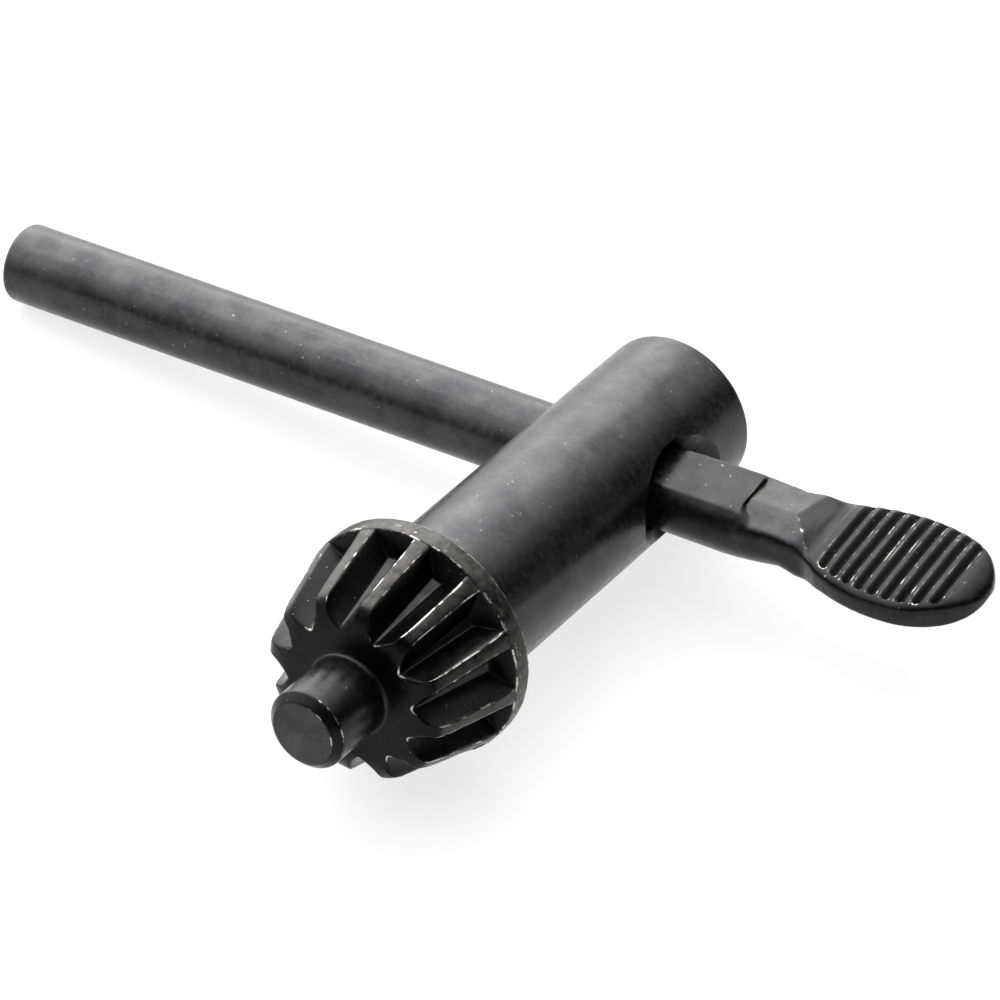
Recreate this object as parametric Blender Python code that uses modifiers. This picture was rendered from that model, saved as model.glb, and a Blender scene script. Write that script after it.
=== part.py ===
"""Chuck key: a toothed body with a pilot and a shank, and a cross handle with a thumb paddle.

Frame: the body's axis is Y, its pilot points to -Y, and the origin is the centre of the pilot's
flat end. The handle runs along X with its paddle at +X. Z is up. All sizes are in metres.
"""
import math

import bmesh
import bpy
from mathutils import Matrix, Vector

MM = 0.001

# ---- body: sizes along its axis, starting at the pilot's end ----
PILOT_DIAMETER = 8.0 * MM
PILOT_CHAMFER = 0.85 * MM
PILOT_LENGTH = 7.5 * MM
PILOT_FOOT_FILLET = 0.4 * MM
HEAD_LENGTH = 9.7 * MM
COLLAR_DIAMETER = 23.5 * MM
COLLAR_WIDTH = 2.2 * MM
COLLAR_EDGE_ROUND = 0.35 * MM
SHANK_DIAMETER = 16.2 * MM
SHANK_LENGTH = 44.2 * MM
SHANK_FOOT_FILLET = 0.4 * MM
SHANK_END_CHAMFER = 0.25 * MM

# ---- teeth ----
TEETH = 12
FIRST_SPACE_ANGLE = math.radians(7.0)
LAND_SLOPE = 0.25
NOSE_FLAT_DIAMETER = 14.4 * MM
NOSE_BACKSET = 0.6 * MM
NOSE_CORNER_ROUND = 1.3 * MM
SPACE_DEPTH = 2.45 * MM
SPACE_FLOOR_WIDTH = 1.1 * MM
SPACE_FLANK_ANGLE = math.radians(38.0)
SPACE_END_LEAN = 0.28

# ---- handle: sizes along the bar, measured from the body's axis ----
BAR_DIAMETER = 8.0 * MM
BAR_END_CHAMFER = 0.6 * MM
PLAIN_SIDE_LENGTH = 69.0 * MM
PADDLE_SIDE_LENGTH = 40.9 * MM
BAR_TO_SHANK_END = 12.0 * MM
BORE_CLEARANCE = 0.3 * MM
COUNTERSINK_DIAMETER = 13.4 * MM
PADDLE_TILT = math.radians(10.0)

PAD_HEIGHT = 3.0 * MM
PAD_START = 4.5 * MM
PAD_END = 15.8 * MM
PAD_STEP = 0.25 * MM
SWELL_WIDTH = 8.5 * MM
NECK_POSITION = 20.0 * MM
NECK_WIDTH = 7.7 * MM
NECK_TOP = 2.75 * MM
NECK_BOTTOM = 3.1 * MM
NECK_ROOF_ANGLE = math.radians(14.0)
NECK_END = 22.0 * MM
PADDLE_START = 24.6 * MM
PADDLE_WIDTH = 12.6 * MM
PADDLE_WIDEST_TO_TIP = 9.15 * MM
PADDLE_RISE = 0.25 * MM
PADDLE_THICKNESS = 3.2 * MM
PADDLE_BLUNTNESS = 2.3
TIP_BLUNTNESS = 4

GROOVE_START = 25.3 * MM
GROOVE_PITCH = 1.47 * MM
GROOVE_WIDTH = 1.18 * MM
GROOVE_DEPTH = 0.45 * MM
GROOVE_RIM = 0.7 * MM
PLAIN_TIP_LENGTH = 1.5 * MM

# ---- section squareness: 2 is an ellipse, more is closer to a rectangle ----
ELLIPSE = 2
PADDLE_SQUARENESS = 5

# ---- how finely curves are cut ----
BODY_STEPS = 96
HANDLE_STEPS = 40
ARC_STEPS = 4
LOFT_STEPS = 12

# ---- places worked out from the sizes above ----
NOSE_Y = PILOT_LENGTH
COLLAR_FRONT_Y = NOSE_Y + HEAD_LENGTH
COLLAR_BACK_Y = COLLAR_FRONT_Y + COLLAR_WIDTH
SHANK_END_Y = COLLAR_BACK_Y + SHANK_LENGTH
BAR_Y = SHANK_END_Y - BAR_TO_SHANK_END
COLLAR_RADIUS = COLLAR_DIAMETER / 2
SHANK_RADIUS = SHANK_DIAMETER / 2
BAR_RADIUS = BAR_DIAMETER / 2
PADDLE_TOP = PADDLE_THICKNESS / 2 + PADDLE_RISE
PADDLE_BOTTOM = PADDLE_THICKNESS / 2 - PADDLE_RISE
SURPLUS = 1.0 * MM


def clear_scene():
    for existing in list(bpy.data.objects):
        bpy.data.objects.remove(existing, do_unlink=True)


def make_collection(name):
    collection = bpy.data.collections.new(name)
    bpy.context.scene.collection.children.link(collection)
    return collection


def make_material(name, colour, roughness, metallic):
    material = bpy.data.materials.new(name)
    material.use_nodes = True
    shader = material.node_tree.nodes["Principled BSDF"]
    shader.inputs["Base Color"].default_value = (*colour, 1.0)
    shader.inputs["Roughness"].default_value = roughness
    shader.inputs["Metallic"].default_value = metallic
    return material


def add_object(name, mesh, collection):
    new_object = bpy.data.objects.new(name, mesh)
    collection.objects.link(new_object)
    return new_object


def add_cutter(name, mesh, collection):
    cutter = add_object(name, mesh, collection)
    cutter.hide_render = True
    cutter.display_type = "WIRE"
    return cutter


def cut(target, cutter):
    boolean = target.modifiers.new("cut_" + cutter.name, "BOOLEAN")
    boolean.operation = "DIFFERENCE"
    boolean.solver = "EXACT"
    boolean.object = cutter


def rounded_outline(corners):
    """Turn corners (radius, height, round) into points, with an arc at each corner whose round isn't 0.

    An arc takes at most half of the shorter side next to it.
    """
    points = []
    for index, (radius, height, corner_round) in enumerate(corners):
        corner = Vector((radius, height))
        if corner_round == 0:
            points.append(corner)
            continue
        before = Vector(corners[index - 1][:2]) - corner
        after = Vector(corners[index + 1][:2]) - corner
        half_angle = before.angle(after) / 2
        wall = min(before.length, after.length) / 2
        tangent = min(corner_round / math.tan(half_angle), wall)
        before.normalize()
        after.normalize()
        centre = corner + (before + after).normalized() * tangent / math.cos(half_angle)
        start = corner + before * tangent - centre
        end = corner + after * tangent - centre
        sweep = start.angle_signed(end)
        for step in range(ARC_STEPS + 1):
            turn = Matrix.Rotation(-sweep * step / ARC_STEPS, 2)
            points.append(centre + turn @ start)
    return points


def turned_mesh_object(name, corners, collection, steps):
    """A solid of revolution about local Z from a profile that runs down its outer side, top to bottom."""
    points = rounded_outline(corners)
    profile = bpy.data.meshes.new(name)
    vertices = [(point.x, 0, point.y) for point in points]
    edges = [(index, index + 1) for index in range(len(points) - 1)]
    profile.from_pydata(vertices, edges, [])
    turned = add_object(name, profile, collection)
    screw = turned.modifiers.new("turn", "SCREW")
    screw.axis = "Z"
    screw.angle = 2 * math.pi
    screw.steps = steps
    screw.render_steps = steps
    screw.use_merge_vertices = True
    screw.merge_threshold = 0.00001
    return turned


def land_radius(y):
    return COLLAR_RADIUS - LAND_SLOPE * (COLLAR_FRONT_Y - y)


def root_radius(y):
    return land_radius(y) - SPACE_DEPTH


def make_key_body(collection):
    """Pilot, toothed head, collar and shank, turned in one piece."""
    land_start_y = NOSE_Y + NOSE_BACKSET
    corners = [
        (0, SHANK_END_Y, 0),
        (SHANK_RADIUS - SHANK_END_CHAMFER, SHANK_END_Y, 0),
        (SHANK_RADIUS, SHANK_END_Y - SHANK_END_CHAMFER, 0),
        (SHANK_RADIUS, COLLAR_BACK_Y, SHANK_FOOT_FILLET),
        (COLLAR_RADIUS, COLLAR_BACK_Y, COLLAR_EDGE_ROUND),
        (COLLAR_RADIUS, COLLAR_FRONT_Y, 0),
        (land_radius(land_start_y), land_start_y, NOSE_CORNER_ROUND),
        (NOSE_FLAT_DIAMETER / 2, NOSE_Y, 0),
        (PILOT_DIAMETER / 2, NOSE_Y, PILOT_FOOT_FILLET),
        (PILOT_DIAMETER / 2, PILOT_CHAMFER, 0),
        (PILOT_DIAMETER / 2 - PILOT_CHAMFER, 0, 0),
        (0, 0, 0),
    ]
    body = turned_mesh_object("key_body", corners, collection, BODY_STEPS)
    body.rotation_euler = (math.radians(-90), 0, 0)
    body.data.materials.append(make_material("black_oxide_body", (0.045, 0.045, 0.048), 0.42, 0.9))
    return body


def tooth_space_points():
    """Corners of one tooth space at 12 o'clock, as (across, along the axis, outwards).

    The floor is a thin wedge that starts at a point on the nose and reaches full width at the end wall.
    Two slanted flanks rise from the floor's long edges, and the end wall leans back towards the collar.
    """
    tip_y = NOSE_Y
    end_y = COLLAR_FRONT_Y - SPACE_END_LEAN * SPACE_DEPTH
    length = end_y - tip_y
    half_floor = SPACE_FLOOR_WIDTH / 2
    floor_edge = Vector((half_floor / length, 1, LAND_SLOPE))
    flank_rise = Vector((math.sin(SPACE_FLANK_ANGLE), 0, math.cos(SPACE_FLANK_ANGLE)))
    flank_normal = floor_edge.cross(flank_rise)
    tip = Vector((0, tip_y, root_radius(tip_y)))
    floor_end = Vector((half_floor, end_y, root_radius(end_y)))

    def on_flank(y, outwards):
        along_and_up = flank_normal.y * (y - tip.y) + flank_normal.z * (outwards - tip.z)
        return Vector((tip.x - along_and_up / flank_normal.x, y, outwards))

    front_y = tip_y - SURPLUS
    keel = Vector((0, front_y, tip.z + flank_normal.y * SURPLUS / flank_normal.z))
    top_front = on_flank(front_y, land_radius(front_y) + SURPLUS / 2)
    top_height = COLLAR_RADIUS + SURPLUS / 2
    top_end = on_flank(end_y + SPACE_END_LEAN * (top_height - floor_end.z), top_height)
    one_side = [floor_end, top_front, top_end]
    other_side = [Vector((-point.x, point.y, point.z)) for point in one_side]
    return [tip, keel] + one_side + other_side


def make_tooth_space_cutter(collection):
    """All tooth spaces, spread evenly round the axis, in the body's local frame."""
    build = bmesh.new()
    for index in range(TEETH):
        angle = FIRST_SPACE_ANGLE + index * 2 * math.pi / TEETH
        outwards = Vector((math.cos(angle), 0, math.sin(angle)))
        across = Vector((math.sin(angle), 0, -math.cos(angle)))
        corners = []
        for point in tooth_space_points():
            place = across * point.x + Vector((0, point.y, 0)) + outwards * point.z
            corners.append(build.verts.new(place))
        bmesh.ops.convex_hull(build, input=corners)
    bmesh.ops.recalc_face_normals(build, faces=build.faces)
    mesh = bpy.data.meshes.new("tooth_spaces")
    build.to_mesh(mesh)
    build.free()
    return add_cutter("tooth_spaces", mesh, collection)


def make_cross_bore_cutter(collection):
    """The hole for the bar, countersunk at 45 degrees on both sides of the shank."""
    bore_radius = BAR_RADIUS + BORE_CLEARANCE
    countersink_radius = COUNTERSINK_DIAMETER / 2
    bore_half = SHANK_RADIUS - (countersink_radius - bore_radius)
    outside = SHANK_RADIUS + SURPLUS
    corners = [
        (0, outside, 0),
        (countersink_radius + SURPLUS, outside, 0),
        (bore_radius, bore_half, 0),
        (bore_radius, -bore_half, 0),
        (countersink_radius + SURPLUS, -outside, 0),
        (0, -outside, 0),
    ]
    cutter = turned_mesh_object("cross_bore", corners, collection, BODY_STEPS)
    cutter.hide_render = True
    cutter.display_type = "WIRE"
    cutter.location = (0, BAR_Y, 0)
    cutter.rotation_euler = (0, math.radians(90), 0)
    return cutter


def paddle_half_width(x):
    """An ellipse from the neck to the widest place, then a blunter one to the tip."""
    widest_x = PADDLE_SIDE_LENGTH - PADDLE_WIDEST_TO_TIP
    if x < widest_x:
        neck_ratio = NECK_WIDTH / PADDLE_WIDTH
        reach = (widest_x - NECK_END) / math.sqrt(1 - neck_ratio ** 2)
        return PADDLE_WIDTH / 2 * math.sqrt(1 - ((widest_x - x) / reach) ** 2)
    share = min(1, (x - widest_x) / PADDLE_WIDEST_TO_TIP)
    return PADDLE_WIDTH / 2 * math.sqrt(1 - share ** PADDLE_BLUNTNESS)


def blend(start, end, x, from_x, to_x):
    """Ease from one value to another between two places."""
    share = min(1, max(0, (x - from_x) / (to_x - from_x)))
    share = share * share * (3 - 2 * share)
    return start + (end - start) * share


def handle_section(x):
    """Half width, top, bottom and squareness of the handle's cross-section at x."""
    if x <= NECK_POSITION:
        swell = blend(BAR_RADIUS, SWELL_WIDTH / 2, x, SHANK_RADIUS, PAD_END - SURPLUS)
        half_width = blend(swell, NECK_WIDTH / 2, x, PAD_END, NECK_POSITION)
        top = BAR_RADIUS
        bottom = blend(BAR_RADIUS, NECK_BOTTOM, x, PAD_END - SURPLUS, NECK_POSITION)
        return half_width, top, bottom, ELLIPSE
    half_width = NECK_WIDTH / 2 if x < NECK_END else paddle_half_width(x)
    top = blend(BAR_RADIUS, PADDLE_TOP, x, NECK_POSITION, PADDLE_START)
    bottom = blend(NECK_BOTTOM, PADDLE_BOTTOM, x, NECK_END - SURPLUS, PADDLE_START + 2 * SURPLUS)
    tip_share = min(1, max(0, 1 - (PADDLE_SIDE_LENGTH - x) / PADDLE_THICKNESS))
    thinning = math.sqrt(1 - tip_share ** TIP_BLUNTNESS)
    squareness = blend(ELLIPSE, PADDLE_SQUARENESS, x, NECK_POSITION, PADDLE_START)
    return half_width, top * thinning, bottom * thinning, squareness


def handle_stations():
    """Places along the bar where its section is set, closer together towards the paddle's tip."""
    swell_x = PAD_END - SURPLUS
    stations = [-PLAIN_SIDE_LENGTH + BAR_END_CHAMFER, SHANK_RADIUS, swell_x]
    for index in range(1, LOFT_STEPS + 1):
        stations.append(swell_x + (PADDLE_START - swell_x) * index / LOFT_STEPS)
    paddle_length = PADDLE_SIDE_LENGTH - PADDLE_START
    for index in range(1, LOFT_STEPS + 1):
        stations.append(PADDLE_START + paddle_length * math.sin(math.pi / 2 * index / (LOFT_STEPS + 0.5)))
    return stations


def make_handle_blank(collection):
    """The bar and its forged paddle as one lofted solid, along local X."""
    build = bmesh.new()
    rings = []
    end_radius = BAR_RADIUS - BAR_END_CHAMFER
    sections = [(-PLAIN_SIDE_LENGTH, (end_radius, end_radius, end_radius, ELLIPSE))]
    sections += [(x, handle_section(x)) for x in handle_stations()]
    for x, (half_width, top, bottom, squareness) in sections:
        ring = []
        for step in range(HANDLE_STEPS):
            angle = 2 * math.pi * step / HANDLE_STEPS
            cosine = math.cos(angle)
            sine = math.sin(angle)
            across = half_width * math.copysign(abs(cosine) ** (2 / squareness), cosine)
            height = top if sine > 0 else bottom
            upwards = height * math.copysign(abs(sine) ** (2 / squareness), sine)
            ring.append(build.verts.new((x, across, upwards)))
        rings.append(ring)
    for near, far in zip(rings, rings[1:]):
        for step in range(HANDLE_STEPS):
            following = (step + 1) % HANDLE_STEPS
            build.faces.new((near[step], near[following], far[following], far[step]))
    build.faces.new(rings[0])
    build.faces.new(rings[-1])
    bmesh.ops.recalc_face_normals(build, faces=build.faces)
    mesh = bpy.data.meshes.new("t_handle")
    build.to_mesh(mesh)
    build.free()
    handle = add_object("t_handle", mesh, collection)
    handle.data.materials.append(make_material("black_oxide_handle", (0.05, 0.05, 0.052), 0.46, 0.9))
    return handle


def make_block_cutter(name, low, high, collection, turn=None, about=None):
    """A block between two corners, turned about a point when a turn is given."""
    build = bmesh.new()
    bmesh.ops.create_cube(build, size=1)
    size = Vector(high) - Vector(low)
    centre = (Vector(high) + Vector(low)) / 2
    bmesh.ops.scale(build, vec=size, verts=build.verts)
    bmesh.ops.translate(build, vec=centre, verts=build.verts)
    if turn is not None:
        bmesh.ops.rotate(build, cent=about, matrix=turn, verts=build.verts)
    mesh = bpy.data.meshes.new(name)
    build.to_mesh(mesh)
    build.free()
    return add_cutter(name, mesh, collection)


def make_flat_cutters(collection):
    """The pad beside the shank, the two roof-like faces of the neck and the ramp to the paddle."""
    reach = BAR_DIAMETER
    pad = make_block_cutter(
        "pad_flat", (PAD_START, -reach, PAD_HEIGHT), (PAD_END, reach, reach), collection)
    cutters = [pad]
    for side in (-1, 1):
        roof = make_block_cutter(
            "neck_roof_far" if side > 0 else "neck_roof_near",
            (PAD_END - PAD_STEP, -reach, NECK_TOP), (PADDLE_START, reach, reach), collection,
            Matrix.Rotation(-side * NECK_ROOF_ANGLE, 3, "X"), Vector((0, 0, NECK_TOP)))
        cutters.append(roof)
    ramp_start = Vector((NECK_POSITION + SURPLUS, 0, NECK_TOP))
    ramp_end = Vector((PADDLE_START, 0, PADDLE_TOP))
    ramp_length = (ramp_end - ramp_start).length
    fall = math.atan2(ramp_start.z - ramp_end.z, ramp_end.x - ramp_start.x)
    ramp = make_block_cutter(
        "ramp", (ramp_start.x, -reach, NECK_TOP), (ramp_start.x + ramp_length, reach, reach), collection,
        Matrix.Rotation(fall, 3, "Y"), ramp_start)
    cutters.append(ramp)
    return cutters


def make_groove_cutter(collection):
    """Rows of V grooves across both faces of the paddle, each stopping short of the rim."""
    build = bmesh.new()
    half_width = GROOVE_WIDTH / 2
    grooved_length = PADDLE_SIDE_LENGTH - PLAIN_TIP_LENGTH - GROOVE_START
    # The underside still slopes up to the neck at the first groove's place, so it has one fewer.
    for side, face in ((-1, PADDLE_BOTTOM), (1, PADDLE_TOP)):
        first_groove = 1 if side < 0 else 0
        for index in range(first_groove, int(grooved_length / GROOVE_PITCH)):
            x = GROOVE_START + GROOVE_PITCH * (index + 0.5)
            rim_distance = min(paddle_half_width(x - half_width), paddle_half_width(x + half_width))
            half_length = rim_distance - GROOVE_RIM
            bottom = side * (face - GROOVE_DEPTH)
            surface = side * face
            above = side * (face + SURPLUS)
            shortened = half_length - GROOVE_DEPTH
            corners = []
            for end in (-1, 1):
                corners.append(build.verts.new((x, end * shortened, bottom)))
                for edge in (-1, 1):
                    corners.append(build.verts.new((x + edge * half_width, end * half_length, surface)))
                    corners.append(build.verts.new((x + edge * half_width, end * half_length, above)))
            bmesh.ops.convex_hull(build, input=corners)
    bmesh.ops.recalc_face_normals(build, faces=build.faces)
    mesh = bpy.data.meshes.new("paddle_grooves")
    build.to_mesh(mesh)
    build.free()
    return add_cutter("paddle_grooves", mesh, collection)


def shade_round(target):
    target.data.shade_smooth()
    target.data.set_sharp_from_angle(angle=math.radians(30))


def main():
    clear_scene()
    parts = make_collection("chuck_key")
    cutters = make_collection("cutters")

    body = make_key_body(parts)
    spaces = make_tooth_space_cutter(cutters)
    cut(body, spaces)
    cut(body, make_cross_bore_cutter(cutters))

    handle = make_handle_blank(parts)
    handle_cutters = make_flat_cutters(cutters)
    handle_cutters.append(make_groove_cutter(cutters))
    for piece in [handle] + handle_cutters:
        piece.location = (0, BAR_Y, 0)
        piece.rotation_euler = (PADDLE_TILT, 0, 0)
    for cutter in handle_cutters:
        cut(handle, cutter)
    shade_round(body)
    shade_round(handle)


main()
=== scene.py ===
"""Chuck key: a toothed body and a cross handle with a ridged thumb paddle, black oxide finished."""

import math

import bpy
from mathutils import Matrix, Vector, noise


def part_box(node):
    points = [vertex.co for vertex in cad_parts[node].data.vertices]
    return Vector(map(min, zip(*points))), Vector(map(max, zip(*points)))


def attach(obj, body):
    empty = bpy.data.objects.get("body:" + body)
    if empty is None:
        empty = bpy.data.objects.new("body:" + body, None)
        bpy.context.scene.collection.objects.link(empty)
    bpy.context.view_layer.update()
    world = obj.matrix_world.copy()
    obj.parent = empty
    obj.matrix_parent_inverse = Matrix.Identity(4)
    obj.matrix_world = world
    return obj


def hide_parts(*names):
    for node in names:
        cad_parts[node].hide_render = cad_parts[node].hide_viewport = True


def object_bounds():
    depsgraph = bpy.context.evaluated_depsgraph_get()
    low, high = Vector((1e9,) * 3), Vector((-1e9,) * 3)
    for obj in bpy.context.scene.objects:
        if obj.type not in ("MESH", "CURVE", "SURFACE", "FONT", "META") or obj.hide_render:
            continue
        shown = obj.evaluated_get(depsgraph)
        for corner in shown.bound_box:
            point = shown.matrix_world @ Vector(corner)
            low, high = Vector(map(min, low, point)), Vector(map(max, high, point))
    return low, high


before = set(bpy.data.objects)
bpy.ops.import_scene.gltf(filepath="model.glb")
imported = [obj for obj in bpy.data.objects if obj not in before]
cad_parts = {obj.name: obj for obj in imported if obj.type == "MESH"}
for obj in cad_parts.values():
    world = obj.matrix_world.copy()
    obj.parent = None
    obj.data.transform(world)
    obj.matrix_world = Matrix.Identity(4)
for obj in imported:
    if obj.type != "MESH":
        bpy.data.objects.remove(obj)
cad_low, cad_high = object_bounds()
MM = 0.001

# ----------------------------------------------------------------------------------------------
# The body: one bar of tool steel, turned to a pilot, a cone, a collar and a shank. Twelve spaces
# are milled into the cone and end at the collar, and the cross-hole is drilled and countersunk.
# It is hardened and black oxide finished, and use has rubbed the tooth lands and the collar.
# ----------------------------------------------------------------------------------------------
body_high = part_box("key_body")[1]
collar_radius = body_high.z
shank_end = body_high.y
shank_radius = 8.1 * MM
pilot_radius = 4.0 * MM
nose_y = 7.5 * MM
head_end = 17.2 * MM
collar_back = 19.4 * MM
land_slope = 0.25

teeth = 12
sector = 2 * math.pi / teeth
first_space_angle = math.radians(7)
space_depth = 2.45 * MM
flank_spread = math.tan(math.radians(38))
floor_half_at_tip = 0.06 * MM
floor_half_at_wall = 0.54 * MM
wall_lean = 0.28
floor_end = head_end - wall_lean * space_depth
edge_round = 0.12 * MM


def mix(start, end, share):
    return start + (end - start) * share


def ease(low, high, value):
    """0 below low, 1 above high, and smooth between."""
    share = min(1, max(0, (value - low) / (high - low)))
    return share * share * (3 - 2 * share)


def land_radius(y):
    return collar_radius - land_slope * (head_end - y)


def root_height(y):
    return land_radius(y) - space_depth


def floor_half(y):
    return mix(floor_half_at_tip, floor_half_at_wall, (y - nose_y) / (floor_end - nose_y))


# The nose: a flat ring, a shallow cone and a rounded corner that runs into the lands.
nose_flat_radius = 7.2 * MM
nose_corner_y = nose_y + 0.6 * MM
edge_start_share = 0.55
nose_corner = Vector((land_radius(nose_corner_y), nose_corner_y))
nose_round = 2.1 * MM
mouth_bulge = 0.3 * MM
mouth_flare = 0.45 * MM
arc_points = 10
to_flat = (Vector((nose_flat_radius, nose_y)) - nose_corner).normalized()
to_land = (Vector((collar_radius, head_end)) - nose_corner).normalized()
corner_half_angle = to_flat.angle(to_land) / 2
arc_centre = nose_corner + (to_flat + to_land).normalized() * nose_round / math.sin(corner_half_angle)
arc_start = nose_corner + to_flat * nose_round / math.tan(corner_half_angle) - arc_centre
arc_end = nose_corner + to_land * nose_round / math.tan(corner_half_angle) - arc_centre
arc_sweep = arc_start.angle_signed(arc_end)
envelope = [Vector((pilot_radius, nose_y)), Vector((nose_flat_radius, nose_y))]
for step in range(arc_points + 1):
    turn = Matrix.Rotation(-arc_sweep * step / arc_points, 2)
    envelope.append(arc_centre + turn @ arc_start)
envelope.append(Vector((collar_radius, head_end)))


def envelope_at(distance):
    """Radius and y at a distance along the nose's outline, from the pilot outwards."""
    for near, far in zip(envelope, envelope[1:]):
        length = (far - near).length
        if distance <= length:
            return near + (far - near) * (distance / length)
        distance -= length
    return envelope[-1]


def envelope_radius(y):
    for near, far in zip(envelope[1:], envelope[2:]):
        if y <= far.y:
            return mix(near.x, far.x, (y - near.y) / (far.y - near.y))
    return collar_radius


def flank_height(y, radius):
    """How far up a flank its edge is where the land has this radius."""
    a = 1 + flank_spread ** 2
    b = floor_half(y) * flank_spread + root_height(y)
    c = floor_half(y) ** 2 + root_height(y) ** 2 - radius ** 2
    return (-b + math.sqrt(max(0, b * b - a * c))) / a


def mouth_distance(height):
    """Where on the nose's outline the flank line of this height comes out."""
    low, high = 0, (nose_flat_radius - pilot_radius) + 3 * MM
    for _ in range(40):
        middle = (low + high) / 2
        radius, y = envelope_at(middle)
        reach = math.hypot(floor_half(y) + height * flank_spread, root_height(y) + height)
        if reach > radius:
            low = middle
        else:
            high = middle
    return (low + high) / 2


edge_start_distance = nose_flat_radius - pilot_radius + (arc_centre + arc_start - envelope[1]).length
edge_start_distance += nose_round * abs(arc_sweep) * edge_start_share
edge_start = envelope_at(edge_start_distance)
edge_start_height = flank_height(edge_start.y, edge_start.x)
edge_end_y = head_end - 0.08 * MM
corner_pull = 0.22 * MM


def flank_mouth(height_share):
    """Where on the nose's outline a flank line comes out, by its share of the flank's height. The
    bulge rounds the mouth of the space to a U."""
    bulge = mouth_bulge * math.sin(math.pi * height_share ** 0.8)
    return mouth_distance(height_share * edge_start_height) - bulge


def flank_point(height_share, along):
    """A point of a flank as (across, y, outwards): height_share 1 is its edge, along 1 is the end wall."""
    edge_y = mix(edge_start.y, edge_end_y, along)
    floor_y = mix(nose_y, floor_end, along)
    height = height_share * flank_height(edge_y, envelope_radius(edge_y))
    front = envelope_at(flank_mouth(height_share)).y
    y = mix(floor_y, edge_y, height_share)
    y += (1 - along) ** 2 * (front - mix(nose_y, edge_start.y, height_share))
    across = floor_half(y) + height * flank_spread
    across += mouth_flare * math.sin(math.pi * height_share) * (1 - along) ** 4
    across -= corner_pull * height_share ** 2 * ease(16.5 * MM, 17.1 * MM, y)
    return Vector((across, y, root_height(y) + height))


# Columns across one pitch, from the middle of a land to the middle of a space, and back.
LAND_MIDDLE, LAND_EDGE, FLOOR_EDGE, FLOOR_MIDDLE = range(4)
half_columns = [
    (LAND_MIDDLE, 1), (LAND_EDGE, 1), (None, 0.95), (None, 0.5), (None, 0.035),
    (FLOOR_EDGE, 0), (FLOOR_MIDDLE, 0)]
floor_edge_share = 0.9
columns = half_columns + half_columns[-2::-1]
last_column = len(columns) - 1


def on_land(role, along):
    edge = flank_point(1, along)
    angle = sector / 2
    if role == LAND_EDGE:
        angle = math.atan2(edge.x, edge.z) + edge_round / edge.z
    radius = math.hypot(edge.x, edge.z)
    return Vector((radius * math.sin(angle), edge.y, radius * math.cos(angle)))


def space_point(role, share, along):
    if role in (LAND_MIDDLE, LAND_EDGE):
        return on_land(role, along)
    if role is None:
        return flank_point(share, along)
    y = mix(nose_y, floor_end, along)
    across = floor_half(y) * floor_edge_share if role == FLOOR_EDGE else 0
    return Vector((across, y, root_height(y)))


def wall_point(role, share, up):
    """A point of the wall that ends a space at the collar: up 0 is at its foot, 1 at the collar."""
    if role in (LAND_MIDDLE, LAND_EDGE):
        point = on_land(role, 1)
        point.y = mix(edge_end_y, head_end, 0.1 + 0.6 * up)
        return point
    foot = space_point(role, share, 1)
    foot_height = share * flank_height(edge_end_y, land_radius(edge_end_y))
    across = foot.x + 0.15 * MM * (1 - share) * up * (role != FLOOR_MIDDLE)
    top_height = math.sqrt((collar_radius - 0.01 * MM) ** 2 - across ** 2) - root_height(floor_end)
    height = mix(foot_height, top_height, up)
    return Vector((across, floor_end + wall_lean * height, root_height(floor_end) + height))


nose_ring_distance = 1.9 * MM


def mouth_place(role, share):
    """Distance along the nose's outline and angle at which a column reaches its space or land."""
    start = space_point(role, share, 0)
    angle = math.atan2(start.x, start.z)
    if role in (LAND_MIDDLE, LAND_EDGE):
        return edge_start_distance, angle
    return flank_mouth(share), angle


def nose_point(role, share, even_angle, outwards):
    distance, angle = mouth_place(role, share)
    distance = mix(nose_ring_distance, distance - edge_round * 0.8, outwards)
    radius, y = envelope_at(distance)
    angle = mix(even_angle, angle, min(1, outwards * 1.6))
    return Vector((radius * math.sin(angle), y, radius * math.cos(angle)))


# The rows of one pitch: turned rings as (radius, y) in mm, with shares of the way along the nose, a
# tooth space and its end wall between them.
front_rings = [
    (0, 0), (2.0, 0), (3.12, 0), (3.21, 0.02), (3.93, 0.74), (3.99, 0.84), (4.0, 1.3), (4.0, 6.9),
    (4.03, 7.2), (4.16, 7.41), (4.42, 7.5), (nose_ring_distance / MM + 4.0, 7.5)]
nose_rows = [0.35, 0.65, 0.88, 1]
space_rows = [0.014, 0.12, 0.36, 0.62, 0.88, 0.991]
wall_rows = [0.025, 0.5, 0.965]
back_rings = [
    (11.75, 17.3), (11.75, 17.8), (11.75, 19.0), (11.66, 19.31), (11.38, 19.4), (8.7, 19.4), (8.28, 19.5),
    (8.1, 19.85), (8.1, 22.0), (8.1, 41.0), (8.1, 62.6), (8.1, 63.25), (8.02, 63.42), (7.85, 63.57),
    (7.5, 63.6), (3.0, 63.6), (0, 63.6)]


def body_point(column, row):
    """Where a column and a row of one pitch meet, as (across, y, outwards) from the space's middle."""
    role, share = columns[column]
    side = -1 if column < last_column / 2 else 1
    even_angle = sector * abs(column / last_column - 0.5)
    rings = front_rings
    if row >= len(front_rings):
        row -= len(front_rings)
        strips = [
            (nose_rows, lambda along: nose_point(role, share, even_angle, along)),
            (space_rows, lambda along: space_point(role, share, along)),
            (wall_rows, lambda along: wall_point(role, share, along))]
        for rows, point_at in strips:
            if row < len(rows):
                point = point_at(rows[row])
                return Vector((side * point.x, point.y, point.z))
            row -= len(rows)
        rings = back_rings
        top = wall_point(role, share, 1)
        even_angle = mix(math.atan2(top.x, top.z), even_angle, ease(0, 3, row))
    radius, y = rings[row]
    return Vector((side * radius * MM * math.sin(even_angle), y * MM, radius * MM * math.cos(even_angle)))


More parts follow.
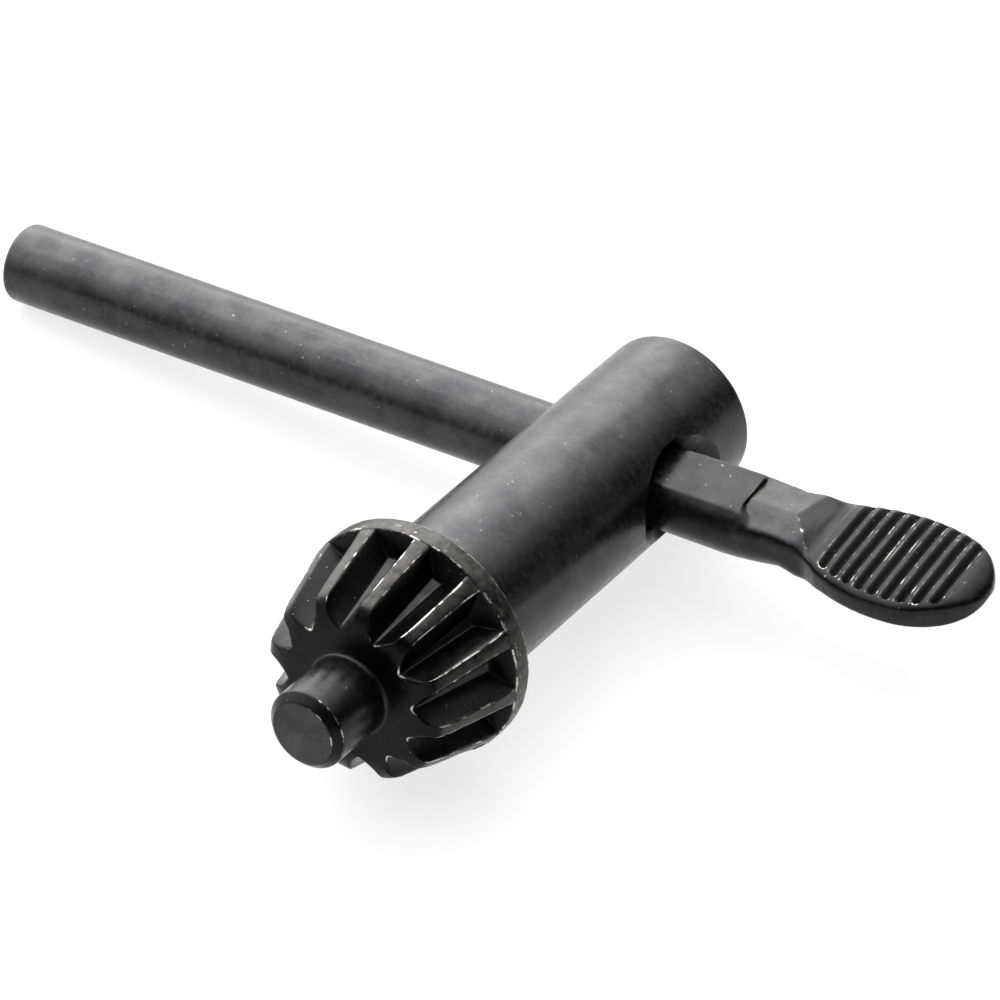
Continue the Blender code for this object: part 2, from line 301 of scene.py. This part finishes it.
def deselect_everything():
    if bpy.context.mode != "OBJECT":
        bpy.ops.object.mode_set(mode="OBJECT")
    bpy.ops.object.select_all(action="DESELECT")


def apply_modifiers(piece):
    deselect_everything()
    bpy.context.view_layer.objects.active = piece
    piece.select_set(True)
    for modifier in list(piece.modifiers):
        bpy.ops.object.modifier_apply(modifier=modifier.name)


# One pitch of the body is a sheet of columns and rows, and the whole body is twelve of them.
row_count = len(front_rings) + len(nose_rows) + len(space_rows) + len(wall_rows) + len(back_rings)
deselect_everything()
bpy.ops.mesh.primitive_grid_add(x_subdivisions=last_column, y_subdivisions=row_count - 1, size=1)
body = bpy.context.object
body.name = body.data.name = "toothed_body"
out = Vector((math.cos(first_space_angle), 0, math.sin(first_space_angle)))
across = Vector((math.sin(first_space_angle), 0, -math.cos(first_space_angle)))
for vertex in body.data.vertices:
    column = round((vertex.co.x + 0.5) * last_column)
    row = round((vertex.co.y + 0.5) * (row_count - 1))
    place = body_point(column, row)
    vertex.co = across * place.x + out * place.z + Vector((0, place.y, 0))
bpy.ops.object.mode_set(mode="EDIT")
bpy.ops.mesh.select_all(action="SELECT")
bpy.ops.mesh.spin(
    steps=teeth - 1, dupli=True, angle=sector * (teeth - 1), center=(0, 0, 0), axis=(0, 1, 0))
bpy.ops.mesh.select_all(action="SELECT")
bpy.ops.mesh.remove_doubles(threshold=0.004 * MM)
bpy.ops.mesh.normals_make_consistent(inside=False)
bpy.ops.object.mode_set(mode="OBJECT")
rounding = body.modifiers.new("rounding", "SUBSURF")
rounding.levels = rounding.render_levels = 2
apply_modifiers(body)

# The cross-hole's drill and countersinks.
bar_from_shank_end = 12 * MM
bar_y = shank_end - bar_from_shank_end
bore_radius = 4.3 * MM
countersink_radius = 6.7 * MM
countersink_depth = countersink_radius - bore_radius
bore_half = shank_radius - countersink_depth
drill_sides = 160
bpy.ops.mesh.primitive_cylinder_add(
    vertices=drill_sides, radius=bore_radius, depth=2 * bore_half,
    location=(0, bar_y, 0), rotation=(0, math.pi / 2, 0))
drill = bpy.context.object
bpy.ops.object.transform_apply(location=True, rotation=True, scale=True)
cone_length = countersink_depth + 1 * MM
cone_growth = (bore_radius + cone_length) / bore_radius
for side in (-1, 1):
    bpy.ops.object.mode_set(mode="EDIT")
    bpy.ops.mesh.select_mode(type="FACE")
    bpy.ops.mesh.select_all(action="DESELECT")
    bpy.ops.object.mode_set(mode="OBJECT")
    for polygon in drill.data.polygons:
        polygon.select = polygon.normal.x * side > 0.9
    bpy.ops.object.mode_set(mode="EDIT")
    bpy.ops.mesh.extrude_region_move(TRANSFORM_OT_translate={"value": (side * cone_length, 0, 0)})
    bpy.ops.transform.resize(
        value=(1, cone_growth, cone_growth), center_override=(side * (bore_half + cone_length), bar_y, 0))
    bpy.ops.object.mode_set(mode="OBJECT")
drilling = body.modifiers.new("cross_hole", "BOOLEAN")
drilling.operation = "DIFFERENCE"
drilling.solver = "EXACT"
drilling.object = drill
apply_modifiers(body)
bpy.data.objects.remove(drill, do_unlink=True)


def fractal(point, size, seed, octaves=4):
    """Noise of about -1 to 1 whose largest lumps have this size."""
    place = Vector(point) / size + Vector((seed, seed * 2, seed * 3))
    return noise.fractal(place, 0.9, 2.1, octaves, noise_basis="PERLIN_ORIGINAL")


def edge_curvature(mesh):
    """For each vertex, the sharpest outward bend that its edges show, in 1/mm."""
    bend = [0.0] * len(mesh.vertices)
    for edge in mesh.edges:
        first, second = (mesh.vertices[i] for i in edge.vertices)
        span = first.co - second.co
        squared = max(span.length_squared, 1e-12)
        bend[first.index] = max(bend[first.index], 2 * span.dot(first.normal) / squared * MM)
        bend[second.index] = max(bend[second.index], -2 * span.dot(second.normal) / squared * MM)
    return bend


def finish_surface(piece, marks, moves, smooth_degrees):
    """Move the vertices, store the marks that the material reads, and shade all but sharp edges smooth."""
    for vertex, move in zip(piece.data.vertices, moves):
        vertex.co += move
    for name, values in marks.items():
        attribute = piece.data.attributes.new(name, "FLOAT", "POINT")
        attribute.data.foreach_set("value", values)
    deselect_everything()
    bpy.context.view_layer.objects.active = piece
    piece.select_set(True)
    bpy.ops.object.shade_smooth_by_angle(angle=math.radians(smooth_degrees))
    piece.data.materials.clear()


def body_painted_shade(place, radius):
    """Painted shade, 0 to 1, that darkens the colour: most in the tooth spaces, on the nose and in the
    cross-hole, less on the pilot, and in blotches on the lands and the collar, which are partly painted
    shade and partly random mottling."""
    angle = math.atan2(place.z, place.x) - first_space_angle
    angle -= sector * round(angle / sector)
    below = ease(0.08 * MM, 0.3 * MM, min(collar_radius, land_radius(place.y)) - radius)
    in_teeth = ease(nose_y - 0.3 * MM, nose_y, place.y) * (1 - ease(head_end, head_end + 0.1 * MM, place.y))
    height = radius * math.cos(angle) - root_height(place.y)
    on_floor = 1 - ease(0.02 * MM, 0.06 * MM, abs(height))
    # Painted shade in the tooth spaces and on the nose, less on the floors of the spaces.
    dark = in_teeth * below * mix(0.9, 0.3, on_floor * ease(nose_y + 0.3 * MM, nose_y + 0.6 * MM, place.y))
    # Painted shade on the pilot's side, and more on its chamfer.
    on_pilot = 0.45 * (1 - ease(nose_y - 0.3 * MM, nose_y, place.y)) * ease(0, 0.04 * MM, place.y)
    on_pilot += 0.35 * (0.04 * MM < place.y < 0.74 * MM)
    # Painted shade in the cross-hole and its countersinks.
    from_bar = math.hypot(place.y - bar_y, place.z)
    in_hole = 0.93 * ease(0.02 * MM, 0.12 * MM, shank_radius - radius) * (from_bar < countersink_radius)
    # Blotches on the lands and the collar: partly painted shade, partly random mottling.
    on_collar = ease(head_end - 0.2 * MM, head_end, place.y)
    on_collar *= 1 - ease(collar_back, collar_back + MM, place.y)
    blotches = in_teeth + on_collar
    blotches *= 0.35 + 0.35 * fractal(place, 0.8 * MM, 31)
    return max(dark, on_pilot, in_hole, min(0.8, blotches))


# Rub marks: the lands and the collar are scuffed, and their edges carry small burrs.
bend = edge_curvature(body.data)
wear, scuff, shade, moves = [], [], [], []
for vertex in body.data.vertices:
    place = vertex.co
    radius = math.hypot(place.x, place.z)
    in_head = ease(8.2 * MM, 9.0 * MM, place.y) * (1 - ease(19.2 * MM, 19.5 * MM, place.y))
    outside = ease(-0.22 * MM, -0.05 * MM, radius - min(collar_radius, land_radius(place.y)))
    sharp = ease(1.2, 4.5, bend[vertex.index])
    scuff.append(outside * in_head)
    turn = math.atan2(place.x, place.z)
    on_collar = ease(16.9 * MM, 17.3 * MM, place.y) * (1 - ease(17.9 * MM, 18.7 * MM, place.y)) * outside
    tool_line = fractal((turn * 3.5 * MM, place.y * 2.2, 0), 0.8 * MM, 17)
    patches = ease(-0.1, 0.5, fractal(place, 1.7 * MM, 3) + 0.25 * math.sin(turn + 0.4))
    # Near the pilot's front the bare-steel edges are kept to their upper right side: partly rubbed edges,
    # partly a painted highlight.
    patches *= mix(ease(0.5, 0.95, math.sin(turn + 0.5)), 1, ease(4 * MM, 6 * MM, place.y))
    scratch = on_collar * (1 - ease(0.0, 0.1, abs(tool_line)))
    wear.append(max(sharp * patches, 0.6 * scratch * patches))
    # Painted shade in the tooth spaces, on the nose, in the cross-hole and on the pilot, with blotches on
    # the lands and the collar.
    shade.append(body_painted_shade(place, radius))
    lift = 0.03 * MM * fractal(place, 0.9 * MM, 11) * outside * in_head
    lift += 0.05 * MM * sharp * in_head * fractal(place, 0.5 * MM, 5)
    lift += 0.025 * MM * on_collar * tool_line
    moves.append(vertex.normal * lift)
finish_surface(body, {"wear": wear, "scuff": scuff, "shade": shade}, moves, 35)


def feed(tree, socket, value):
    """Link another node's output to a socket, or set the socket's own value."""
    if isinstance(value, bpy.types.NodeSocket):
        tree.links.new(value, socket)
    else:
        socket.default_value = value


def add_node(tree, kind, **inputs):
    node = tree.nodes.new(kind)
    for name, value in inputs.items():
        feed(tree, node.inputs[name], value)
    return node


def mark(tree, name):
    """A value that finish_surface has stored on the mesh."""
    node = tree.nodes.new("ShaderNodeAttribute")
    node.attribute_name = name
    return node.outputs["Fac"]


def noise_value(tree, place, scale, detail=4, roughness=0.55):
    node = add_node(
        tree, "ShaderNodeTexNoise", Vector=place, Scale=scale, Detail=detail, Roughness=roughness)
    return node.outputs["Fac"]


def stretched(tree, place, scale):
    mapping = add_node(tree, "ShaderNodeMapping", Vector=place)
    mapping.inputs["Scale"].default_value = scale
    return mapping.outputs["Vector"]


def spread(tree, value, low, high, to_low=0.0, to_high=1.0):
    """Map a value's range to another, smoothly and held at its ends."""
    node = tree.nodes.new("ShaderNodeMapRange")
    node.interpolation_type = "SMOOTHSTEP"
    tree.links.new(value, node.inputs["Value"])
    node.inputs["From Min"].default_value = low
    node.inputs["From Max"].default_value = high
    node.inputs["To Min"].default_value = to_low
    node.inputs["To Max"].default_value = to_high
    return node.outputs["Result"]


def calculate(tree, operation, first, second):
    node = tree.nodes.new("ShaderNodeMath")
    node.operation = operation
    feed(tree, node.inputs[0], first)
    feed(tree, node.inputs[1], second)
    return node.outputs[0]


def blend_colour(tree, share, first, second):
    node = tree.nodes.new("ShaderNodeMix")
    node.data_type = "RGBA"
    tree.links.new(share, node.inputs["Factor"])
    feed(tree, node.inputs["A"], first)
    feed(tree, node.inputs["B"], second)
    return node.outputs["Result"]


oxide_dark = (0.03, 0.03, 0.0315, 1)
oxide_light = (0.05, 0.0495, 0.0495, 1)
oxide_mottle = (0.065, 0.064, 0.062, 1)
oxide_lines = (0.075, 0.074, 0.072, 1)
oxide_scuffed = (0.075, 0.074, 0.071, 1)
# Near black, for the painted shade.
painted_shade_colour = (0.004, 0.004, 0.0043, 1)
pit_colour = (0.015, 0.015, 0.015, 1)
bare_steel = (0.42, 0.41, 0.39, 1)
speck_colour = (0.22, 0.215, 0.205, 1)


def black_oxide(name, grain_stretch):
    """Black oxide on steel: cloudy dark grey with tool lines and pits, painted shade in the recesses and on
    some faces, and bare steel on rubbed edges. It reads the marks wear, scuff and shade that a mesh
    carries."""
    material = bpy.data.materials.new(name)
    material.use_nodes = True
    tree = material.node_tree
    shader = tree.nodes["Principled BSDF"]
    place = tree.nodes.new("ShaderNodeTexCoord").outputs["Object"]
    wear_mark = mark(tree, "wear")
    scuff_mark = mark(tree, "scuff")
    painted_shade_mark = mark(tree, "shade")
    clouds = noise_value(tree, place, 260, 5, 0.6)
    mottle = noise_value(tree, place, 1400, 4, 0.6)
    lines = noise_value(tree, stretched(tree, place, grain_stretch), 1, 4, 0.65)
    specks = noise_value(tree, place, 4200, 2, 0.5)
    light_specks = spread(tree, noise_value(tree, place, 2300, 1, 0.4), 0.755, 0.79, 0, 0.5)

    colour = blend_colour(tree, spread(tree, clouds, 0.35, 0.68), oxide_dark, oxide_light)
    colour = blend_colour(tree, spread(tree, mottle, 0.5, 0.72, 0, 0.5), colour, oxide_mottle)
    colour = blend_colour(tree, spread(tree, lines, 0.55, 0.75, 0, 0.35), colour, oxide_lines)
    scuffed = spread(tree, mottle, 0.35, 0.65, 0.25, 0.9)
    scuffed = calculate(tree, "MULTIPLY", scuff_mark, scuffed)
    colour = blend_colour(tree, scuffed, colour, oxide_scuffed)
    # Painted shade: the colour goes towards near black as far as the shade mark says.
    colour = blend_colour(tree, painted_shade_mark, colour, painted_shade_colour)
    pits = spread(tree, specks, 0.66, 0.74, 0, 0.7)
    colour = blend_colour(tree, pits, colour, pit_colour)
    bare = calculate(tree, "MULTIPLY", wear_mark, spread(tree, mottle, 0.3, 0.55, 0.2, 1.3))
    bare = spread(tree, bare, 0.15, 0.75)
    colour = blend_colour(tree, bare, colour, bare_steel)
    colour = blend_colour(tree, light_specks, colour, speck_colour)
    tree.links.new(colour, shader.inputs["Base Color"])

    rough = spread(tree, mottle, 0.3, 0.7, 0.24, 0.37)
    rough = calculate(tree, "ADD", rough, calculate(tree, "MULTIPLY", scuffed, 0.12))
    rough = calculate(tree, "ADD", rough, calculate(tree, "MULTIPLY", bare, -0.08))
    tree.links.new(rough, shader.inputs["Roughness"])
    shader.inputs["Metallic"].default_value = 0.92

    height = calculate(tree, "MULTIPLY", mottle, 0.35)
    height = calculate(tree, "ADD", height, calculate(tree, "MULTIPLY", lines, 0.25))
    height = calculate(tree, "SUBTRACT", height, calculate(tree, "MULTIPLY", pits, 0.4))
    rough_land = noise_value(tree, place, 2600, 3, 0.6)
    rough_land = calculate(tree, "MULTIPLY", scuff_mark, rough_land)
    height = calculate(tree, "ADD", height, calculate(tree, "MULTIPLY", rough_land, 1.5))
    bump = add_node(tree, "ShaderNodeBump", Height=height, Strength=0.35)
    bump.inputs["Distance"].default_value = 0.03 * MM
    tree.links.new(bump.outputs["Normal"], shader.inputs["Normal"])
    return material


body.data.materials.append(black_oxide("black_oxide_body", (350, 2600, 350)))
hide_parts("key_body")
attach(body, "root")

# ----------------------------------------------------------------------------------------------
# The cross handle: drawn round bar, pressed flat beside the shank to hold it in the hole, with
# one end forged between ribbed dies into a thumb paddle. Black oxide finished, with rubbed edges.
# ----------------------------------------------------------------------------------------------
handle_low, handle_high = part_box("t_handle")
bar_radius = 4.0 * MM
paddle_tilt = math.radians(10)
paddle_tip = handle_high.x
pad_height = 3.0 * MM
pad_start = 3 * MM
pad_end = 15.8 * MM
roof_height = 2.7 * MM
ridge_at = -0.2 * MM
near_slope = 0.17
far_slope = 0.1
ramp_start = 20.9 * MM
ramp_slope = 0.232
ramp_lean = 0.038
near_run = 1.6 * MM
paddle_start = 24.6 * MM
paddle_top = 1.85 * MM
paddle_half_width = 6.3 * MM
paddle_squareness = 5
flare_start = 20 * MM
widest_to_tip = 9.15 * MM
tip_roundness = 2.3
tip_dome = 4.2 * MM
dome_roundness = 2.6
groove_pitch = 1.47 * MM
groove_start = 25.3 * MM
groove_count = 9
groove_depth = 0.5 * MM
ring_points = 128

# The handle's outlines as (x, distance from the bar's middle) in mm: far side, near side, underside.
far_outline = [
    (-70, 4.0), (6, 4.0), (10, 4.2), (15.8, 4.26), (18.5, 4.12), (20.5, 4.1), (22.5, 4.4), (24.4, 4.9),
    (26, 5.4), (28.5, 6.0), (31.75, 6.3)]
near_outline = [
    (-70, 4.0), (6, 4.0), (15.8, 4.06), (18.5, 3.9), (20.5, 3.78), (22.5, 3.8), (23.5, 3.95), (24.4, 4.4),
    (25.6, 5.05), (28.5, 5.95), (31.75, 6.3)]
bottom_outline = [
    (-70, 4.0), (14, 4.0), (17, 3.7), (20, 3.1), (22, 2.75), (24.5, 1.9), (26.5, 1.35), (41, 1.35)]


def along_outline(outline, x):
    """A smooth value at x through an outline's points, in mm."""
    x /= MM
    last = len(outline) - 1
    index = 0
    while index < last - 1 and x > outline[index + 1][0]:
        index += 1
    x0, y0 = outline[index]
    x1, y1 = outline[index + 1]

    def slope(i):
        before, after = outline[max(0, i - 1)], outline[min(last, i + 1)]
        return (after[1] - before[1]) / (after[0] - before[0])

    span = x1 - x0
    t = min(1, max(0, (x - x0) / span))
    start_slope = slope(index) * span
    end_slope = (0 if index + 1 == last else slope(index + 1)) * span
    value = (2 * t ** 3 - 3 * t ** 2 + 1) * y0 + (t ** 3 - 2 * t ** 2 + t) * start_slope
    value += (3 * t ** 2 - 2 * t ** 3) * y1 + (t ** 3 - t ** 2) * end_slope
    return value * MM


def half_width(x, side):
    widest = paddle_tip - widest_to_tip
    if x < widest:
        return along_outline(far_outline if side > 0 else near_outline, x)
    share = min(1, (x - widest) / widest_to_tip)
    return paddle_half_width * math.sqrt(max(0, 1 - share ** tip_roundness))


def smaller(a, b, blend_size):
    """The smaller of two heights, with a rounded edge where they cross."""
    share = min(1, max(0, 0.5 + (b - a) / (2 * blend_size)))
    return b + (a - b) * share - blend_size * share * (1 - share)


def neck_facets(x, u):
    """Heights of the neck's three facets: its near and far roof sides and the ramp to the paddle."""
    near_roof = roof_height + near_slope * (u - ridge_at)
    far_roof = roof_height - far_slope * (u - ridge_at)
    ramp = roof_height - ramp_slope * (x - ramp_start) - ramp_lean * u
    return near_roof, far_roof, ramp


def pressed_height(x, u):
    """How high the dies let the top be: the pad, then the facets of the neck."""
    near_roof, far_roof, ramp = neck_facets(x, u)
    neck = smaller(smaller(near_roof, far_roof, 0.05 * MM), ramp, 0.05 * MM)
    start = pad_end - 0.5 * MM * ease(2.6 * MM, 3.9 * MM, u)
    run = 0.14 * MM + near_run * (1 - ease(-2.9 * MM, -1 * MM, u))
    return mix(pad_height, neck, ease(start, start + run, x))


def groove(x, u, half):
    """Depth of the ribbing: each groove slopes down towards the tip and ends at a steep wall."""
    position = (x - groove_start) / groove_pitch
    if position < 0 or position > groove_count:
        return 0
    share = position % 1
    depth = groove_depth * ease(0, 0.6, share) * (1 - ease(0.64, 0.78, share))
    phase = min(1, max(-1, share / 0.39 - 1))
    rounding = 0.55 * MM * (1 - math.sqrt(1 - phase * phase))
    near_end = rounding - (half - 0.7 * MM)
    far_end = half - 0.1 * MM
    near_mask = ease(near_end - 0.05 * MM, near_end + 0.2 * MM, u)
    far_mask = 1 - ease(far_end - 0.3 * MM, far_end + 0.3 * MM, u)
    return depth * near_mask * far_mask


def rib_wear(x, u):
    """Rubbing on the ribs: the edge of each crest towards the tip, and its near end."""
    position = (x - groove_start) / groove_pitch
    if position < -0.1 or position > groove_count + 0.1:
        return 0
    from_crest = abs(position - round(position) - 0.02)
    near_end = 0.7 * MM - half_width(x, u)
    rib_end = 1 - ease(0.05 * MM, 0.3 * MM, abs(u - near_end - 0.1 * MM))
    return (1 - ease(0.03, 0.11, from_crest)) * max(0.26 * (u > near_end), 0.4 * rib_end)


def handle_painted_shade(x, u, v):
    """Painted shade, 0 to 1: the pressed faces and the ribbing are darker than the forged neck, the ramp
    and the near roof side darker than the far one, and the bar's sides darker towards the bottom.
    """
    on_top = ease(2.6 * MM, 2.9 * MM, v) if x < pad_end else ease(0.2 * MM, 0.9 * MM, v)
    near_roof, far_roof, ramp = neck_facets(x, u)
    # Painted shade on the top: the pad, the neck's facets each by how light falls on it, and the ribbing's
    # grooves.
    if x < pad_end:
        top_shade = 0.5
    elif x < paddle_start:
        on_ramp = ease(-0.03 * MM, 0.02 * MM, min(near_roof, far_roof) - ramp)
        top_shade = mix(0.22 if u < ridge_at else 0.1, 0.62, on_ramp)
    else:
        depth = groove(x, u, half_width(x, u)) / groove_depth
        top_shade = 0.66 + 0.26 * ease(0.1, 0.9, depth)
    # Painted shade on the bar's sides, darker towards the bottom.
    side_shade = 0.5 - 0.4 * ease(1.0 * MM, 2.2 * MM, v)
    return mix(side_shade, top_shade, on_top)


def handle_point(x, angle):
    """A point of the handle's surface: across u and up v, at x along the bar."""
    cosine, sine = math.cos(angle), math.sin(angle)
    half = half_width(x, cosine)
    squareness = mix(2, paddle_squareness, ease(flare_start, paddle_start, x))
    top = mix(bar_radius, paddle_top, ease(flare_start, paddle_start - 0.3 * MM, x))
    bottom = along_outline(bottom_outline, x)
    tip_share = min(1, max(0, 1 - (paddle_tip - x) / tip_dome))
    thinning = math.sqrt(max(0, 1 - tip_share ** dome_roundness))
    u = half * math.copysign(abs(cosine) ** (2 / squareness), cosine)
    height = (top if sine > 0 else bottom) * thinning
    v = height * math.copysign(abs(sine) ** (2 / squareness), sine)
    if sine > 0 and pad_start < x < paddle_start:
        on_near_neck = ease(pad_end, pad_end + 1 * MM, x) * (u < 0)
        v = smaller(v, pressed_height(x, u), mix(0.05 * MM, 0.35 * MM, on_near_neck))
    flatness = abs(sine) ** (2 / squareness)
    ribs = groove(x, u, half) * ease(0.55, 0.85, flatness)
    v -= math.copysign(ribs, sine)
    u += 0.4 * MM * ease(34 * MM, 41 * MM, x)
    return u, v


def stations(low, high, count):
    return [mix(low, high, index / count) for index in range(count)]


# Where the handle's rings are, with how much each is shrunk to round the plain end. They are
# closest together at the pad's step, on the neck and along the ribs.
bar_end = handle_low.x
end_round = 0.6 * MM
neck_start = 20.2 * MM
tip_start = 39.3 * MM
ring_places = [(bar_end + end_round * (1 - math.cos(a)), end_round * (1 - math.sin(a)))
               for a in stations(0, math.pi / 2, 6)]
ring_places += [(x, 0) for x in stations(bar_end + end_round, pad_start, 10)]
ring_places += [(x, 0) for x in stations(pad_start, pad_end - 0.4 * MM, 26)]
ring_places += [(x, 0) for x in stations(pad_end - 0.4 * MM, pad_end + 0.5 * MM, 15)]
ring_places += [(x, 0) for x in stations(pad_end + 0.5 * MM, neck_start, 16)]
ring_places += [(x, 0) for x in stations(neck_start, paddle_start, 36)]
ring_places += [(x, 0) for x in stations(paddle_start, tip_start, 160)]
tip_length = paddle_tip - tip_start
ring_places += [(tip_start + tip_length * math.sin(a), 0) for a in stations(0, math.pi / 2 * 0.985, 18)]

deselect_everything()
ring_count = len(ring_places)
bpy.ops.mesh.primitive_grid_add(x_subdivisions=ring_count - 1, y_subdivisions=ring_points, size=1)
handle = bpy.context.object
handle.name = handle.data.name = "forged_handle"
wear, scuff, shade = [], [], []
tilt = Matrix.Rotation(paddle_tilt, 3, "X")
for vertex in handle.data.vertices:
    x, shrink = ring_places[round((vertex.co.x + 0.5) * (ring_count - 1))]
    step = round((vertex.co.y + 0.5) * ring_points) % ring_points
    u, v = handle_point(x, 2 * math.pi * step / ring_points)
    scale = 1 - shrink / bar_radius
    vertex.co = tilt @ Vector((x, u * scale, v * scale)) + Vector((0, bar_y, 0))
bpy.ops.object.mode_set(mode="EDIT")
bpy.ops.mesh.select_mode(type="VERT")
bpy.ops.mesh.select_all(action="SELECT")
bpy.ops.mesh.remove_doubles(threshold=0.002 * MM)
bpy.ops.mesh.select_all(action="DESELECT")
bpy.ops.mesh.select_non_manifold()
bpy.ops.mesh.edge_face_add()
bpy.ops.mesh.select_all(action="SELECT")
bpy.ops.mesh.normals_make_consistent(inside=False)
bpy.ops.object.mode_set(mode="OBJECT")

bend = edge_curvature(handle.data)
moves = []
for vertex in handle.data.vertices:
    place = vertex.co
    forged = ease(4 * MM, 9 * MM, place.x)
    sharp = ease(2.2, 6.0, bend[vertex.index]) * forged
    patches = ease(-0.1, 0.5, fractal(place, 1.1 * MM, 7))
    x, u, v = tilt.transposed() @ (place - Vector((0, bar_y, 0)))
    # A bare-steel line along the neck's folds: partly rubbed edges, partly a painted highlight along them.
    near_line, far_line, ramp_line = neck_facets(x, u)
    fold = min(abs(near_line - ramp_line), abs(near_line - far_line))
    fold = (1 - ease(0.02 * MM, 0.07 * MM, fold)) * (v > 0) * (u < 0.5 * MM) * (pad_end < x < 24.3 * MM)
    fold *= mix(0.2, 0.45, ease(ramp_start - 1.2 * MM, ramp_start, x))
    sharp *= mix(0.3, 1, ease(0.2 * MM, 0.5 * MM, abs(x - pad_end)))
    on_ribs = rib_wear(x, u) * mix(0.65, 1, patches) * (v > 0)
    wear.append(max(0.7 * sharp * patches, fold * patches, on_ribs))
    scuff.append(0.5 * forged * ease(0.2, 0.6, fractal(place, 3 * MM, 9)))
    # Painted shade on the pressed pad, the neck's facets, the ribbing and the bar's sides.
    shade.append(handle_painted_shade(x, u, v) * forged)
    moves.append(vertex.normal * (0.02 * MM * forged * fractal(place, 1.6 * MM, 21)))
finish_surface(handle, {"wear": wear, "scuff": scuff, "shade": shade}, moves, 36)
handle.data.materials.append(black_oxide("black_oxide_handle", (180, 1900, 1900)))
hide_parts("t_handle")
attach(handle, "root")

# ----------------------------------------------------------------------------------------------
# The floor: a pale sheet on which the key lies, on its collar, the end of its shank and its bar's
# plain end. The sheet follows those three places, and gives off light of its own, so that the
# shadows on it stay faint.
# ----------------------------------------------------------------------------------------------
supports = [
    [v.co for v in body.data.vertices if v.co.y < collar_back],
    [v.co for v in body.data.vertices if v.co.y > shank_end - 1 * MM],
    [v.co for v in handle.data.vertices if v.co.x < bar_end + 1 * MM]]
up = Vector((0, 0, 1))
for _ in range(6):
    touching = [min(group, key=up.dot) for group in supports]
    up = (touching[1] - touching[0]).cross(touching[2] - touching[0]).normalized()
    if up.z < 0:
        up.negate()
floor_drop = 0.02 * MM
bpy.ops.mesh.primitive_plane_add(size=6)
floor = bpy.context.object
floor.name = "floor"
level = up.to_track_quat("Z", "Y").to_matrix()
for vertex in floor.data.vertices:
    vertex.co = level @ vertex.co + touching[0] - up * floor_drop
paper = bpy.data.materials.new("pale_paper")
paper.use_nodes = True
paper_shader = paper.node_tree.nodes["Principled BSDF"]
paper_shader.inputs["Base Color"].default_value = (0.22, 0.22, 0.22, 1)
paper_shader.inputs["Emission Color"].default_value = (1, 1, 1, 1)
paper_shader.inputs["Emission Strength"].default_value = 0.78
paper_shader.inputs["Roughness"].default_value = 0.9
paper_shader.inputs["Specular IOR Level"].default_value = 0.1
floor.data.materials.append(paper)

# ----------------------------------------------------------------------------------------------
# The light: one large soft box above and behind to the left, in a room that is bright on that side
# and nearly dark in front. A wide soft box is what gives a satin black surface its broad highlights.
# ----------------------------------------------------------------------------------------------
centre = (cad_low + cad_high) / 2


def soft_box(name, direction, distance, width, height, radiance):
    lamp = bpy.data.lights.new(name, "AREA")
    lamp.shape = "RECTANGLE"
    lamp.size = width
    lamp.size_y = height
    lamp.energy = radiance * math.pi * width * height
    holder = bpy.data.objects.new(name, lamp)
    bpy.context.scene.collection.objects.link(holder)
    towards = Vector(direction).normalized()
    holder.location = centre + towards * distance
    holder.rotation_euler = towards.to_track_quat("Z", "Y").to_euler()
    holder.visible_camera = False


soft_box("back_left_box", (-0.5, 0.38, 0.72), 0.7, 0.85, 0.85, 2.4)
world = bpy.data.worlds.new("pale_room")
world.use_nodes = True
room = world.node_tree
looking = room.nodes.new("ShaderNodeTexCoord").outputs["Generated"]
lean = room.nodes.new("ShaderNodeVectorMath")
lean.operation = "DOT_PRODUCT"
room.links.new(looking, lean.inputs[0])
lean.inputs[1].default_value = (-0.6, 0.25, 0.76)
brightness = spread(room, lean.outputs["Value"], 0.05, 0.95, 0.07, 3.3)
room.links.new(brightness, room.nodes["Background"].inputs["Strength"])
room.nodes["Background"].inputs["Color"].default_value = (1, 1, 1, 1)
bpy.context.scene.world = world
bpy.context.scene.view_settings.view_transform = "Standard"

# ----------------------------------------------------------------------------------------------
# The camera: a long lens, above and in front of the pilot, to the right of the body.
# ----------------------------------------------------------------------------------------------
azimuth = math.radians(33.17)
elevation = math.radians(33.6)
roll = math.radians(-0.2)
distance = 613.9 * MM
aim = centre + Vector((8.3, 9.46, 0)) * MM
right = Vector((math.cos(azimuth), math.sin(azimuth), 0))
back = Vector((
    math.sin(azimuth) * math.cos(elevation), -math.cos(azimuth) * math.cos(elevation), math.sin(elevation)))
facing = Matrix((right, back.cross(right), back)).transposed() @ Matrix.Rotation(roll, 3, "Z")
camera_data = bpy.data.cameras.new("camera")
camera_data.lens = 234.85
camera_data.sensor_width = 36
camera = bpy.data.objects.new("camera", camera_data)
bpy.context.scene.collection.objects.link(camera)
camera.location = aim + back * distance
camera.rotation_euler = facing.to_euler()
bpy.context.scene.camera = camera
